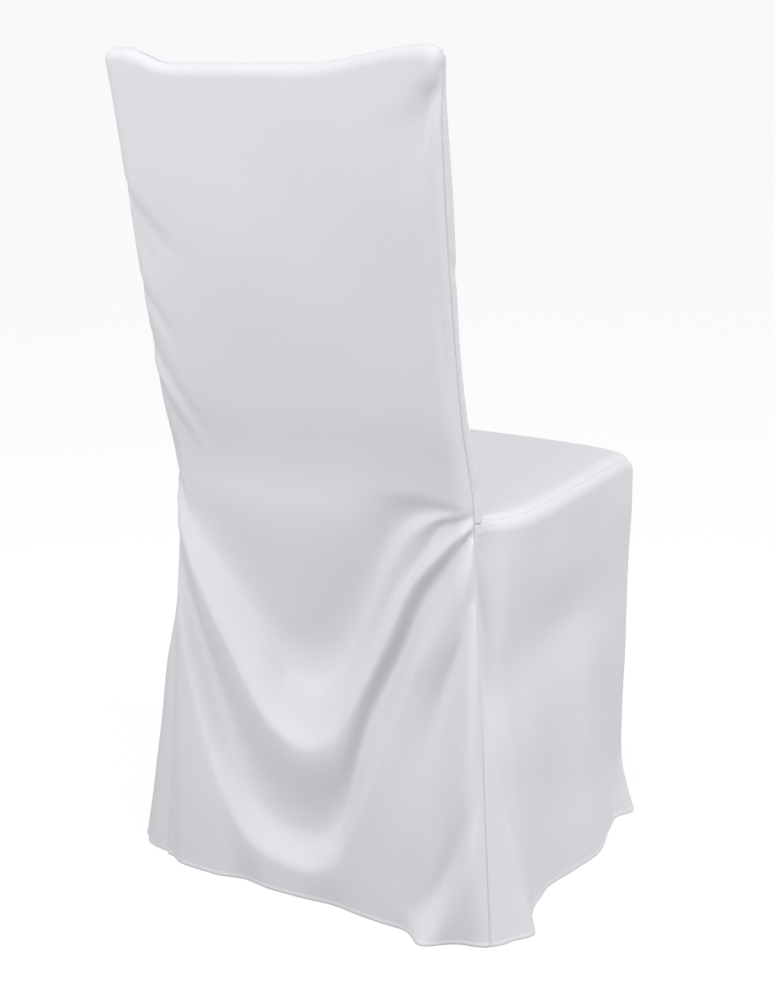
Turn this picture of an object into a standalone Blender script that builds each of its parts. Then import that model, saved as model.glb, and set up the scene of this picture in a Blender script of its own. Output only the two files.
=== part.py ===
"""Fitted cloth cover for a narrow chair with a high back.

The cover is six sewn panels of one thin cloth. The outside back falls from the crest to the floor and
hangs in swags between its two side seams, the inside back wraps round both posts, the seat panel lies
flat, and three skirt panels roll over the seat's edge and fall to the floor. Every panel is an open sheet
shaped on a grid and given its thickness inwards. Metres, +Z up, the back of the cover towards +Y, the
origin on the floor under the middle of the cover.
"""

import bmesh
import bpy
import numpy as np

CLOTH = 0.0014
SEAM_GAP = 0.0003
SIDEWAYS_GAP = 0.00045
COLLECTION = "chair_cover"

# Heights of the main levels
CREST_Z = 0.930
LEFT_EAR = {"rise": 0.015, "length": 0.065, "level": 0.15}
RIGHT_EAR = {"rise": 0.017, "length": 0.135, "level": 0.08}
WAIST_Z = 0.4685
JOIN_Z = 0.466
SHOULDER_Z = 0.4525
ROLL = 0.019
SEAT_Z = SHOULDER_Z + ROLL
ROLL_START = np.arccos((JOIN_Z - SHOULDER_Z) / ROLL)

# The back: its face, half width, edge radius and seam angle, each at a few heights
BACK_Z = (0.0, 0.15, 0.30, WAIST_Z, 0.58, 0.70, 0.90, 0.945)
BACK_HALF_WIDTH = (0.227, 0.2135, 0.2025, 0.1915, 0.191, 0.192, 0.195, 0.198)
BACK_EDGE = (0.030, 0.027, 0.023, 0.020, 0.0185, 0.0175, 0.0155, 0.015)
BACK_FACE_Y = (0.209, 0.2015, 0.1945, 0.190, 0.2120, 0.236, 0.2757, 0.2846)
BACK_SHIFT = (-0.004, -0.001, 0.003, 0.008, 0.013, 0.014, 0.011, 0.010)
SEAM_ANGLE_Z = (0.0, 0.30, WAIST_Z, 0.87, 0.915)
SEAM_ANGLE = tuple(np.radians((45.0, 58.0, 68.0, 68.0, 90.0)))
CREST_EDGE = BACK_EDGE[-1]
SHIFT_REACH = 0.40
FLAT_SHARE = 0.89
INSIDE_HOLLOW = {"depth": 0.005, "from side": 0.12, "from end": 0.10}

# The skirt: front corner, bulge of the seat's side and bow of its front, each at a few heights
SKIRT_Z = (0.0, 0.10, 0.20, 0.33, SHOULDER_Z)
FRONT_HALF_WIDTH = (0.216, 0.207, 0.208, 0.2105, 0.2095)
FRONT_Y = (0.222, 0.216, 0.213, 0.211, 0.211)
SIDE_BULGE = (0.002, 0.003, 0.005, 0.010, 0.0245)
FRONT_BOW = (0.004, 0.002, 0.001, 0.003, 0.014)
BULGE_AT = (0.0, 0.03, 0.09, 0.19, 0.34, 0.50, 0.75, 1.0)
BULGE_SHARE = (0.0, 0.14, 0.72, 1.0, 0.92, 0.70, 0.34, 0.0)
FRONT_EDGE = 0.018
CORNER_DROOP = 0.010
DROOP_REACH = 0.070
SIDE_RUN = 0.43
FRONT_RUN = 0.22
INSET_START = 0.03
INSET_LENGTH = 0.09

# Swag lines of the outside back, from the sitter's left seam to the right one. A station is a share of
# the half width, a height and a depth are in millimetres, and a depth under 0 is a valley.
STATIONS = (1.0, 0.80, 0.62, 0.44, 0.26, 0.08, -0.10, -0.30, -0.48, -0.64, -0.80, -1.0)
SWAG_HEIGHTS = {
    "waist ridge": (484, 479, 475, 472, 474, 478, 483, 489, 495, 497, 493, 484),
    "upper valley": (455, 406, 364, 311, 259, 253, 296, 372, 440, 467, 476, 481),
    "pleat ridge": (451, 392, 343, 288, 238, 229, 264, 338, 407, 449, 469, 479),
    "pleat valley": (447, 376, 320, 263, 216, 204, 228, 306, 378, 416, 461, 476),
    "middle ridge": (440, 360, 296, 237, 194, 178, 191, 264, 332, 393, 429, 470),
    "lower valley": (400, 268, 162, 104, 76, 72, 98, 226, 303, 371, 417, 461),
    "lower ridge": (350, 201, 111, 57, 36, 31, 45, 116, 216, 293, 350, 452),
    "hem": (0, 0, 0, 0, 0, 0, 0, 0, 0, 0, 0, 0),
}
SWAG_DEPTHS = {
    "waist ridge": (0, 1, 1, 1, 1, 1, 1, 1, 1, 1, 1, 0),
    "upper valley": (0, -7, -15, -23, -31, -34, -30, -19, -12, -8, -4, 0),
    "pleat ridge": (0, -3, -8, -13, -19, -22, -19, -12, -6, -2, 0, 0),
    "pleat valley": (0, 1, -1, -3, -7, -11, -10, -10, -11, -11, -8, 0),
    "middle ridge": (1, 6, 6, 6, 5, 4, 4, 4, 5, 5, 4, 1),
    "lower valley": (0, -8, -14, -18, -21, -22, -21, -17, -15, -13, -10, 0),
    "lower ridge": (0, 6, 6, 5, 4, 4, 4, 6, 7, 7, 7, 1),
    "hem": (0, 7, 8, -1, 4, 3, -1, 5, 8, 8, 0, 0),
}
SWAG_ROWS = (4, 2, 2, 2, 3, 3, 7)
SWAG_FADE = 0.06
SEAM_FADE = 0.014

# Single folds: name, start, middle and end as (across, height), height of the fold at the three, then its
# half width at the start and the end. Across is a share of the panel's width, the rest is in metres.
FOLD_STEPS = 25
BACK_FOLDS = (
    ("third pleat", (-0.97, 0.402), (-0.77, 0.31), (-0.50, 0.08), (-0.002, -0.010, -0.002), (0.009, 0.030)),
    ("corner flare", (-0.695, 0.0), (-0.86, 0.050), (-0.97, 0.16), (0.023, 0.011, 0.0), (0.024, 0.008)),
    ("flare root", (-0.57, 0.0), (-0.80, 0.055), (-0.93, 0.17), (-0.003, -0.006, 0.0), (0.016, 0.008)),
    ("left hem tuck", (0.93, 0.0), (0.92, 0.040), (0.91, 0.12), (-0.006, -0.003, 0.0), (0.012, 0.008)),
    ("top left pull", (1.0, 0.79), (0.90, 0.745), (0.78, 0.70), (-0.003, -0.003, 0.0), (0.009, 0.014)),
    ("middle left pull", (1.0, 0.67), (0.92, 0.63), (0.82, 0.59), (-0.003, -0.002, 0.0), (0.007, 0.012)),
    ("waist left pull", (1.0, 0.60), (0.88, 0.555), (0.76, 0.50), (-0.003, -0.003, 0.0), (0.008, 0.012)),
    ("top right pull", (-0.97, 0.90), (-0.86, 0.86), (-0.72, 0.80), (-0.004, -0.003, 0.0), (0.012, 0.018)),
)
RIGHT_FOLDS = (
    ("seam trough", (0.045, 0.43), (0.05, 0.33), (0.045, 0.24), (-0.004, -0.008, 0.0), (0.018, 0.012)),
    ("rear cone", (0.10, 0.0), (0.075, 0.10), (0.035, 0.24), (0.019, 0.009, 0.0), (0.022, 0.006)),
    ("middle hollow", (0.36, 0.0), (0.36, 0.12), (0.35, 0.28), (-0.007, -0.005, 0.0), (0.034, 0.030)),
    ("wide cone", (0.64, 0.0), (0.62, 0.14), (0.60, 0.30), (0.014, 0.007, 0.0), (0.055, 0.040)),
    ("front cone", (0.95, 0.0), (0.955, 0.03), (0.96, 0.07), (0.013, 0.006, 0.0), (0.022, 0.012)),
)
LEFT_FOLDS = (
    ("seam trough", (0.045, 0.43), (0.05, 0.33), (0.045, 0.24), (-0.004, -0.006, 0.0), (0.018, 0.012)),
    ("rear cone", (0.075, 0.0), (0.065, 0.20), (0.050, 0.43), (0.047, 0.028, 0.0), (0.030, 0.012)),
    ("middle hollow", (0.40, 0.0), (0.38, 0.12), (0.36, 0.30), (-0.008, -0.005, 0.0), (0.036, 0.030)),
    ("wide cone", (0.70, 0.0), (0.67, 0.14), (0.64, 0.32), (0.014, 0.007, 0.0), (0.050, 0.035)),
)
FRONT_FOLDS = (
    ("right corner cone", (-0.88, 0.0), (-0.90, 0.08), (-0.93, 0.20), (0.014, 0.006, 0.0), (0.024, 0.010)),
    ("right hollow", (-0.52, 0.0), (-0.50, 0.12), (-0.46, 0.28), (-0.009, -0.006, 0.0), (0.034, 0.028)),
    ("middle cone", (-0.10, 0.0), (-0.08, 0.14), (-0.04, 0.34), (0.018, 0.010, 0.0), (0.042, 0.026)),
    ("left hollow", (0.34, 0.0), (0.33, 0.12), (0.30, 0.30), (-0.010, -0.006, 0.0), (0.034, 0.028)),
    ("left cone", (0.66, 0.0), (0.66, 0.12), (0.64, 0.28), (0.014, 0.007, 0.0), (0.034, 0.020)),
)

# Grid lines across the panels
EDGE_STEP = 0.001
HEM_Z = 0.0005
BACK_RIM = (0.0, 0.33, 0.67, 0.955, 1.0)
BACK_ACROSS = 25
CREST_RIM = (1.0, 0.955, 0.67, 0.33, 0.0)
UPPER_LEVELS = (0.505, 0.520, 0.540, 0.570, 0.615, 0.68, 0.74, 0.80)
BELOW_CREST = (0.060, 0.047, 0.035, 0.024, 0.013, 0.0)
INSIDE_RIM = (0.0, 0.15, 0.30, 0.45, 0.60, 0.75, 0.87, 0.975, 1.0)
INSIDE_ACROSS = np.array((-12, -11, -10, -9, -8, -7, -5, -3, 0, 3, 5, 7, 8, 9, 10, 11, 12)) / 12
INSIDE_LOW_LEVELS = (0.476, 0.484)
REAR_ARC_END = 0.035
FRONT_ARC_START = 0.965
SIDE_LINES = (0.0, 0.002, 0.018, 0.035, 0.055, 0.08, 0.11, 0.15, 0.20, 0.27, 0.35, 0.44, 0.53, 0.62,
              0.71, 0.80, 0.88, 0.93, 0.965, 0.982, 0.995, 1.0)
FRONT_LINES = (0.0, 0.09, 0.18, 0.27, 0.36, 0.45, 0.54, 0.63, 0.72, 0.80, 0.87, 0.93, 0.965, 0.99, 1.0)
FRONT_ARC = 0.93
ROLL_STEPS = (0.0, 0.07, 0.38, 0.70, 1.0)
SKIRT_LEVELS = (0.4350, 0.405, 0.365, 0.32, 0.27, 0.22, 0.17, 0.12, 0.075, 0.035, HEM_Z + EDGE_STEP,
                HEM_Z)
SEAT_FLAT_LINES = 8
HORN_STEP = 5
HORN_CLEAR = 0.05

COLOURS = {
    "back_panel": (0.760, 0.755, 0.790),
    "inside_back_panel": (0.740, 0.735, 0.775),
    "seat_panel": (0.735, 0.730, 0.770),
    "right_skirt": (0.730, 0.725, 0.765),
    "left_skirt": (0.730, 0.725, 0.765),
    "front_skirt": (0.735, 0.730, 0.770),
}
CLOTH_ROUGHNESS = 0.85


def curve(knots, values, at):
    """Read a smooth curve through the values, with no overshoot between them."""
    knots = np.asarray(knots, float)
    values = np.asarray(values, float)
    step = np.diff(knots)
    slope = np.diff(values) / step
    tangent = np.zeros(len(knots))
    tangent[0] = slope[0]
    tangent[-1] = slope[-1]
    for i in range(1, len(knots) - 1):
        if slope[i - 1] * slope[i] > 0:
            near = 2 * step[i] + step[i - 1]
            far = step[i] + 2 * step[i - 1]
            tangent[i] = (near + far) / (near / slope[i - 1] + far / slope[i])
    at = np.asarray(at, float)
    i = np.clip(np.searchsorted(knots, at, side="right") - 1, 0, len(step) - 1)
    t = np.clip((at - knots[i]) / step[i], 0.0, 1.0)
    start = values[i] * (1 + 2 * t) * (1 - t) ** 2 + values[i + 1] * t * t * (3 - 2 * t)
    return start + step[i] * (tangent[i] * t * (1 - t) ** 2 - tangent[i + 1] * t * t * (1 - t))


def ease(t):
    """Go softly from 0 to 1."""
    t = np.clip(t, 0.0, 1.0)
    return t * t * (3 - 2 * t)


def crest_height(across):
    """Height of the top edge: level in the middle, rising to an ear over each post."""
    inward = (1 - np.abs(across)) * BACK_HALF_WIDTH[-1]
    left, right = (ear["rise"] * ease(1 + ear["level"] - inward / ear["length"])
                   for ear in (LEFT_EAR, RIGHT_EAR))
    return CREST_Z + np.where(across > 0, left, right)


def shifted(x, y, z):
    """Move the back part sideways, as the cloth has pulled towards the sitter's left."""
    share = np.clip((y + FRONT_Y[0]) / SHIFT_REACH, 0.0, 1.0)
    return x + curve(BACK_Z, BACK_SHIFT, z) * share


def fold_rise(folds, across, run, z):
    """Add up the single folds at a point, given by its share across and its length along the panel."""
    rise = np.zeros_like(z)
    for _, start, middle, end, heights, widths in folds:
        steps = np.linspace(0.0, 1.0, FOLD_STEPS)
        early = (1 - steps) ** 2
        late = steps ** 2
        between = 1 - early - late
        line_u = early * start[0] + between * middle[0] + late * end[0]
        line_z = early * start[1] + between * middle[1] + late * end[1]
        nearest = np.full_like(z, np.inf)
        place = np.zeros_like(z)
        for i in range(FOLD_STEPS - 1):
            step_u = (line_u[i + 1] - line_u[i]) * run
            step_z = line_z[i + 1] - line_z[i]
            from_u = (across - line_u[i]) * run
            from_z = z - line_z[i]
            share = np.clip((from_u * step_u + from_z * step_z) / (step_u ** 2 + step_z ** 2), 0.0, 1.0)
            distance = np.hypot(from_u - share * step_u, from_z - share * step_z)
            place = np.where(distance < nearest, (i + share) / (FOLD_STEPS - 1), place)
            nearest = np.minimum(nearest, distance)
        height = curve((0.0, 0.5, 1.0), heights, place)
        width = widths[0] + (widths[1] - widths[0]) * place
        rise += height * np.exp(-(nearest / width) ** 2)
    return rise


def swag_lines(across):
    """Heights and depths of the swag lines at one place across the back."""
    order = np.argsort(STATIONS)
    stations = np.asarray(STATIONS)[order]
    heights = [curve(stations, np.asarray(row)[order], across) for row in SWAG_HEIGHTS.values()]
    depths = [curve(stations, np.asarray(row)[order], across) for row in SWAG_DEPTHS.values()]
    return np.array(heights) / 1000, np.array(depths) / 1000


def swag_depth(across, z):
    """Depth of the swags at each point of the back."""
    depth = np.zeros_like(z)
    for column in range(z.shape[1]):
        heights, depths = swag_lines(across[0, column])
        knots = np.append(heights[::-1], (heights[0] + SWAG_FADE, 1.0))
        values = np.append(depths[::-1], (0.0, 0.0))
        depth[:, column] = curve(knots, values, z[:, column])
    return depth


def rim_point(across, rim, crest, rear):
    """Place points on the pillow-shaped upper part.

    across is the share of the flat part, rim the share of the side edge's arc, and crest the share of the
    top edge's arc. rear is 1 for the outside back and -1 for the inside back.
    """
    edge = curve(BACK_Z, BACK_EDGE, crest["z"])
    seam = curve(SEAM_ANGLE_Z, SEAM_ANGLE, crest["z"])
    if rear < 0:
        seam = np.pi - seam
    share = crest["share"]
    reach = np.maximum(np.abs(rim), share)
    turn = np.where(share > 0, np.pi / 2, seam)
    angle = reach * (turn - SEAM_GAP / 2 / edge)
    heading = np.arctan2(share, np.abs(rim) + 1e-9)
    heading = np.where((share == 0) | (reach == 0), 0.0, heading)
    flat = curve(BACK_Z, BACK_HALF_WIDTH, crest["z"]) - edge
    side = np.sign(rim) * edge * np.sin(angle) * np.cos(heading)
    x = across * flat + side
    z = crest["z"] + edge * np.sin(angle) * np.sin(heading)
    middle_y = curve(BACK_Z, BACK_FACE_Y, z) - edge
    normal_x = np.sign(rim) * np.sin(angle) * np.cos(heading)
    normal_y = rear * np.cos(angle)
    y = middle_y + edge * normal_y
    run = flat + edge * (turn - SEAM_GAP / 2 / edge)
    along = (np.abs(across) * flat + edge * angle * (np.abs(rim) > 0)) / run
    place = np.where(rim == 0, across * flat / run, np.sign(rim) * along)
    return x, y, z, normal_x, normal_y, place, run


def columns(rim, flat):
    """Pair up the grid lines across a back panel: share of the flat part and share of the edge's arc."""
    sides = [(1.0, r) for r in rim[:0:-1]]
    pairs = sides + [(q, 0.0) for q in sorted(flat, reverse=True)] + [(-q, -r) for q, r in sides[::-1]]
    return np.array(pairs).T


def back_points(rim, flat, crest_rim, levels, rear):
    """Grid of the outside or the inside back, bottom row first, with its place across and its run."""
    across, side = columns(rim, flat)
    rows = len(levels) + len(crest_rim) - 1
    wide = np.ones((rows, 1))
    top = crest_height(across) - CREST_EDGE
    share = np.zeros((rows, 1))
    share[len(levels):, 0] = crest_rim[-2::-1]
    heights = np.vstack([levels] + [top] * (len(crest_rim) - 1))
    crest = {"z": heights, "share": share * np.ones_like(heights)}
    return rim_point(wide * across, wide * side, crest, rear)


def upper_levels(across):
    """Row heights from above the waist to the foot of the crest's arc, the same for both back panels."""
    top = crest_height(across) - CREST_EDGE
    return list(UPPER_LEVELS) + [top - down for down in BELOW_CREST]


def seam_window(place, run):
    """Let folds die out in the last stretch before a side seam."""
    return ease((1 - np.abs(place)) * run / SEAM_FADE)


def back_panel():
    """Outside back: crest to floor, its rows following the swag lines."""
    flat = np.linspace(-1.0, 1.0, BACK_ACROSS)
    across, side = columns(BACK_RIM, flat)
    levels = []
    for q, r in zip(across, side):
        place = q * FLAT_SHARE + r * (1 - FLAT_SHARE)
        heights, _ = swag_lines(place)
        stops = [HEM_Z, HEM_Z + EDGE_STEP]
        lines = heights[::-1]
        for low, high, count in zip(lines[:-1], lines[1:], SWAG_ROWS[::-1]):
            start = max(low, stops[1])
            stops.extend(start + (high - start) * (i + 1) / count for i in range(count))
        levels.append(stops + upper_levels(q))
    levels = np.array(levels).T
    x, y, z, normal_x, normal_y, place, run = back_points(BACK_RIM, flat, CREST_RIM, levels, 1)
    depth = swag_depth(place, z)
    depth += fold_rise(BACK_FOLDS, place, run, z)
    depth *= seam_window(place, run)
    x = shifted(x, y, z) + normal_x * depth
    y = y + normal_y * depth
    return np.stack([x, y, z], axis=-1)


def inside_back_panel():
    """Inside back: crest to seat, wrapped round both posts to the side seams."""
    bottom = JOIN_Z + SEAM_GAP / 2
    across, _ = columns(INSIDE_RIM, INSIDE_ACROSS)
    low = [bottom, bottom + EDGE_STEP, *INSIDE_LOW_LEVELS]
    levels = np.array([low + upper_levels(q) for q in across]).T
    x, y, z, _, _, place, run = back_points(INSIDE_RIM, INSIDE_ACROSS, CREST_RIM, levels, -1)
    inner = ease((1 - np.abs(place)) * run / INSIDE_HOLLOW["from side"])
    ends = ease((z - bottom) / INSIDE_HOLLOW["from end"]) * ease((CREST_Z - z) / INSIDE_HOLLOW["from end"])
    hollow = INSIDE_HOLLOW["depth"] * inner * ends
    return np.stack([shifted(x, y, z), y + hollow, z], axis=-1)


def side_base(u, z):
    """Plan of a side skirt before its folds, for the sitter's left side: place and outward direction."""
    edge = curve(BACK_Z, BACK_EDGE, z)
    width = curve(BACK_Z, BACK_HALF_WIDTH, z)
    face = curve(BACK_Z, BACK_FACE_Y, z)
    seam = curve(SEAM_ANGLE_Z, SEAM_ANGLE, z) + SEAM_GAP / 2 / edge
    front_width = curve(SKIRT_Z, FRONT_HALF_WIDTH, z)
    front_y = -curve(SKIRT_Z, FRONT_Y, z)
    rear = np.clip(u / REAR_ARC_END, 0.0, 1.0)
    run = np.clip((u - REAR_ARC_END) / (FRONT_ARC_START - REAR_ARC_END), 0.0, 1.0)
    front = np.clip((u - FRONT_ARC_START) / (1 - FRONT_ARC_START), 0.0, 1.0)
    rear_angle = seam + (np.pi / 2 - seam) * rear
    front_angle = np.pi / 2 + (np.pi / 4 - SEAM_GAP / 2 / FRONT_EDGE) * front
    bulge = curve(SKIRT_Z, SIDE_BULGE, z) * curve(BULGE_AT, BULGE_SHARE, run)
    x = width - edge + edge * np.sin(rear_angle)
    x = np.where(u > REAR_ARC_END, width + (front_width - width) * run + bulge, x)
    x = np.where(u > FRONT_ARC_START, front_width - FRONT_EDGE + FRONT_EDGE * np.sin(front_angle), x)
    y = face - edge + edge * np.cos(rear_angle)
    y = np.where(u > REAR_ARC_END, face - edge + (front_y + FRONT_EDGE - face + edge) * run, y)
    y = np.where(u > FRONT_ARC_START, front_y + FRONT_EDGE + FRONT_EDGE * np.cos(front_angle), y)
    angle = np.where(u < FRONT_ARC_START, rear_angle, front_angle)
    return x, y, np.sin(angle), np.cos(angle)


def front_base(q, z):
    """Plan of the front skirt before its folds: place and outward direction."""
    front_width = curve(SKIRT_Z, FRONT_HALF_WIDTH, z)
    front_y = -curve(SKIRT_Z, FRONT_Y, z)
    bow = curve(SKIRT_Z, FRONT_BOW, z)
    flat = np.clip(q / FRONT_ARC, -1.0, 1.0)
    turn = np.clip((np.abs(q) - FRONT_ARC) / (1 - FRONT_ARC), 0.0, 1.0)
    angle = np.pi - (np.pi / 4 - SEAM_GAP / 2 / FRONT_EDGE) * turn
    inner = front_width - FRONT_EDGE
    x = flat * inner + np.sign(q) * FRONT_EDGE * np.sin(angle)
    y = front_y + FRONT_EDGE + FRONT_EDGE * np.cos(angle) - bow * (1 - flat ** 2)
    return x, y, np.sign(q) * np.sin(angle), np.cos(angle)


def droop(x, y):
    """How far the cloth sinks at a front corner of the seat."""
    away = np.hypot(np.abs(x) - FRONT_HALF_WIDTH[-1], y + FRONT_Y[-1])
    return CORNER_DROOP * np.clip(1 - away / DROOP_REACH, 0.0, 1.0) ** 3


def seat_edge_inset(u):
    """How far the seat seam lies inside the skirt's shoulder: nothing at the back seam."""
    return ROLL * (1 - np.sin(ROLL_START)) * ease((u - INSET_START) / INSET_LENGTH)


def skirt_points(u, base, side, inset, folds, length):
    """Grid of a skirt panel, bottom row first: the fall to the floor, then the roll up to the seat seam.

    u runs from 0 or -1 at one seam to 1 at the other, and length is the length of one unit of u.
    """
    levels = np.array(SKIRT_LEVELS[::-1])[:, None] * np.ones_like(u)
    z = np.vstack([levels, np.full((1, len(u)), SHOULDER_Z)])
    x, y, normal_x, normal_y = base(np.ones((len(z), 1)) * u, z)
    to_seam = np.minimum(u - u[0], u[-1] - u)
    rise = fold_rise(folds, u * np.ones_like(z), np.full_like(z, length), z)
    rise *= ease(to_seam * length / SEAM_FADE)
    sink = droop(x[-1], y[-1]) * ease(z / SHOULDER_Z * 3 - 2)
    tilt = inset / (ROLL * (1 - np.sin(ROLL_START)))
    reach = 4 / 3 * np.tan((np.pi / 2 - ROLL_START) / 4) * ROLL
    out = reach * np.cos(ROLL_START) * tilt
    down = reach * (1 - tilt + np.sin(ROLL_START) * tilt)
    top_z = JOIN_Z - SEAM_GAP / 2
    rows = []
    for t in ROLL_STEPS[-2::-1]:
        ends = (1 - t) ** 3, 3 * t * (1 - t) ** 2, 3 * t * t * (1 - t), t ** 3
        away = ends[0] * inset + ends[1] * (inset - out)
        high = ends[0] * top_z + ends[1] * (top_z - down)
        high = high + ends[2] * (SHOULDER_Z + reach) + ends[3] * SHOULDER_Z
        rows.append((x[-1] - normal_x[-1] * away, y[-1] - normal_y[-1] * away, high - sink[-1]))
    x = np.vstack([x + normal_x * rise] + [row[0] for row in rows])
    y = np.vstack([y + normal_y * rise] + [row[1] for row in rows])
    z = np.vstack([z - sink] + [row[2] for row in rows])
    return np.stack([shifted(side * x, y, z), y, z], axis=-1)


def side_skirt(side, folds):
    """One side panel. side is 1 on the sitter's left and -1 on the right."""
    u = np.array(SIDE_LINES)
    return skirt_points(u, side_base, side, seat_edge_inset(u), folds, SIDE_RUN)


def front_skirt():
    """The front panel."""
    q = np.array([-v for v in FRONT_LINES[:0:-1]] + list(FRONT_LINES))
    inset = np.full(len(q), ROLL * (1 - np.sin(ROLL_START)))
    return skirt_points(q, front_base, 1, inset, FRONT_FOLDS, FRONT_RUN)


def seam_line(u, base, inset):
    """Plan of the seat seam, one gap inside a skirt's top edge, at the skirt's own grid lines."""
    x, y, normal_x, normal_y = base(u, np.full_like(u, SHOULDER_Z))
    return np.stack([x - normal_x * inset, y - normal_y * inset], axis=-1)


def seat_outline():
    """Plan of the seat panel's side, front and rear edges, for the sitter's left half."""
    u = np.array([v for v in SIDE_LINES[::-1] if v > HORN_CLEAR])
    side = seam_line(u, side_base, seat_edge_inset(u) + SIDEWAYS_GAP)
    q = np.array(FRONT_LINES)
    front = seam_line(q, front_base, ROLL * (1 - np.sin(ROLL_START)) + SEAM_GAP)
    corner = (side[0] + front[-1]) / 2
    side[0] = corner
    front[-1] = corner
    post = BACK_EDGE[3] + SEAM_GAP
    angle = np.pi - (np.pi - SEAM_ANGLE[2]) * np.array(INSIDE_RIM[:HORN_STEP + 1])
    rear_x = BACK_HALF_WIDTH[3] - BACK_EDGE[3] + post * np.sin(angle)
    rear_y = BACK_FACE_Y[3] - BACK_EDGE[3] + post * np.cos(angle)
    arc = np.stack([rear_x, rear_y], axis=-1)
    near_tip = arc[-1] + (arc[-2] - arc[-1]) * EDGE_STEP / (post * (angle[-2] - angle[-1]))
    flat = np.linspace(0.0, 1.0, SEAT_FLAT_LINES + 1)[:-1, None] * (arc[0, 0], 0.0) + (0.0, arc[0, 1])
    rear = np.vstack([flat, arc[:-1], near_tip, arc[-1]])
    return np.vstack([side, arc[-1]]), front, rear


def shares(line):
    """Share of a polyline's length at each of its points."""
    length = np.append(0.0, np.cumsum(np.hypot(*np.diff(line, axis=0).T)))
    return length / length[-1]


def distance_to(line, x, y):
    """Plan distance from points to a polyline."""
    start = line[:-1]
    step = np.diff(line, axis=0)
    away = np.stack([x, y], axis=-1)[..., None, :] - start
    share = np.clip((away * step).sum(axis=-1) / (step ** 2).sum(axis=-1), 0.0, 1.0)
    return np.hypot(*np.moveaxis(away - share[..., None] * step, -1, 0)).min(axis=-1)


def seat_panel():
    """Seat top: flat inside, turned down at its side and front seams, with a horn beside each post."""
    side, front, rear = seat_outline()
    v = shares(side)[:, None, None]
    u = shares(rear)[None, :, None]
    middle = (1 - v) * front[0] + v * rear[0]
    ends = (1 - v) * front + v * rear
    span = (1 - u) * middle + u * side[:, None, :]
    corners = (1 - u) * middle + u * ((1 - v) * side[0] + v * side[-1])
    plan = ends + span - corners
    mirrored = plan[:, :0:-1] * (-1, 1)
    plan = np.concatenate([mirrored, plan], axis=1)
    x, y = plan[..., 0], plan[..., 1]
    distance = distance_to(np.vstack([side[::-1], front[-2::-1]]), np.abs(x), y) + SEAM_GAP
    slope = np.clip(np.sin(ROLL_START) - distance / ROLL, 0.0, 1.0)
    rear_y = BACK_FACE_Y[3] - BACK_EDGE[3]
    run = (rear_y - y) / (rear_y + FRONT_Y[-1] - FRONT_EDGE)
    tilt = seat_edge_inset(REAR_ARC_END + (FRONT_ARC_START - REAR_ARC_END) * run) / seat_edge_inset(1.0)
    z = SEAT_Z - ROLL * (1 - np.sqrt(1 - slope ** 2)) * tilt ** 4 - droop(x, y)
    return np.stack([shifted(x, y, z), y, z], axis=-1)


def material(name):
    """Matt white polyester."""
    new = bpy.data.materials.new(name + "_cloth")
    new.use_nodes = True
    shader = new.node_tree.nodes["Principled BSDF"]
    shader.inputs["Base Color"].default_value = (*COLOURS[name], 1.0)
    shader.inputs["Roughness"].default_value = CLOTH_ROUGHNESS
    shader.inputs["Metallic"].default_value = 0.0
    return new


def cloth(name, points, outward, collection):
    """Make one panel: a grid moved to its points and given the cloth's thickness inwards."""
    rows, across, _ = points.shape
    grid = bmesh.new()
    bmesh.ops.create_grid(grid, x_segments=across - 1, y_segments=rows - 1, size=1.0)
    for vertex, place in zip(grid.verts, points.reshape(-1, 3)):
        vertex.co = place
    grid.normal_update()
    facing = sum((face.normal * face.calc_area() for face in grid.faces), grid.faces[:][0].normal * 0)
    if facing.dot(outward) < 0:
        bmesh.ops.reverse_faces(grid, faces=grid.faces[:])
    mesh = bpy.data.meshes.new(name)
    grid.to_mesh(mesh)
    grid.free()
    mesh.shade_smooth()
    panel = bpy.data.objects.new(name, mesh)
    panel.data.materials.append(material(name))
    collection.objects.link(panel)
    body = panel.modifiers.new("Cloth thickness", "SOLIDIFY")
    body.thickness = CLOTH
    body.offset = -1.0
    body.use_quality_normals = True
    return panel


def main():
    """Clear the scene and build the six panels, with the middle of the cover's foot at the origin."""
    for thing in list(bpy.data.objects):
        bpy.data.objects.remove(thing, do_unlink=True)
    collection = bpy.data.collections.new(COLLECTION)
    bpy.context.scene.collection.children.link(collection)
    panels = {
        "back_panel": (back_panel(), (0, 1, 0)),
        "inside_back_panel": (inside_back_panel(), (0, -1, 0)),
        "seat_panel": (seat_panel(), (0, 0, 1)),
        "right_skirt": (side_skirt(-1, RIGHT_FOLDS), (-1, 0, 0)),
        "left_skirt": (side_skirt(1, LEFT_FOLDS), (1, 0, 0)),
        "front_skirt": (front_skirt(), (0, -1, 0)),
    }
    places = np.vstack([points.reshape(-1, 3) for points, _ in panels.values()])
    low, high = places.min(axis=0), places.max(axis=0)
    foot = np.array(((low[0] + high[0]) / 2, (low[1] + high[1]) / 2, 0.0))
    for name, (points, outward) in panels.items():
        cloth(name, points - foot, outward, collection)


main()
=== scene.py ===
"""Dressed model of a fitted chair cover: six sewn panels of white polyester over a narrow chair.

Each panel is a thin sheet on the fixed frame's panel of the same name, with the seams turned in, a rolled
hem, the swags and pleats of the outside back, and the small pulls and puckers of real sewing. Metres,
+Z up, the outside back towards +Y, the sitter's left towards +X.
"""

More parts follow.
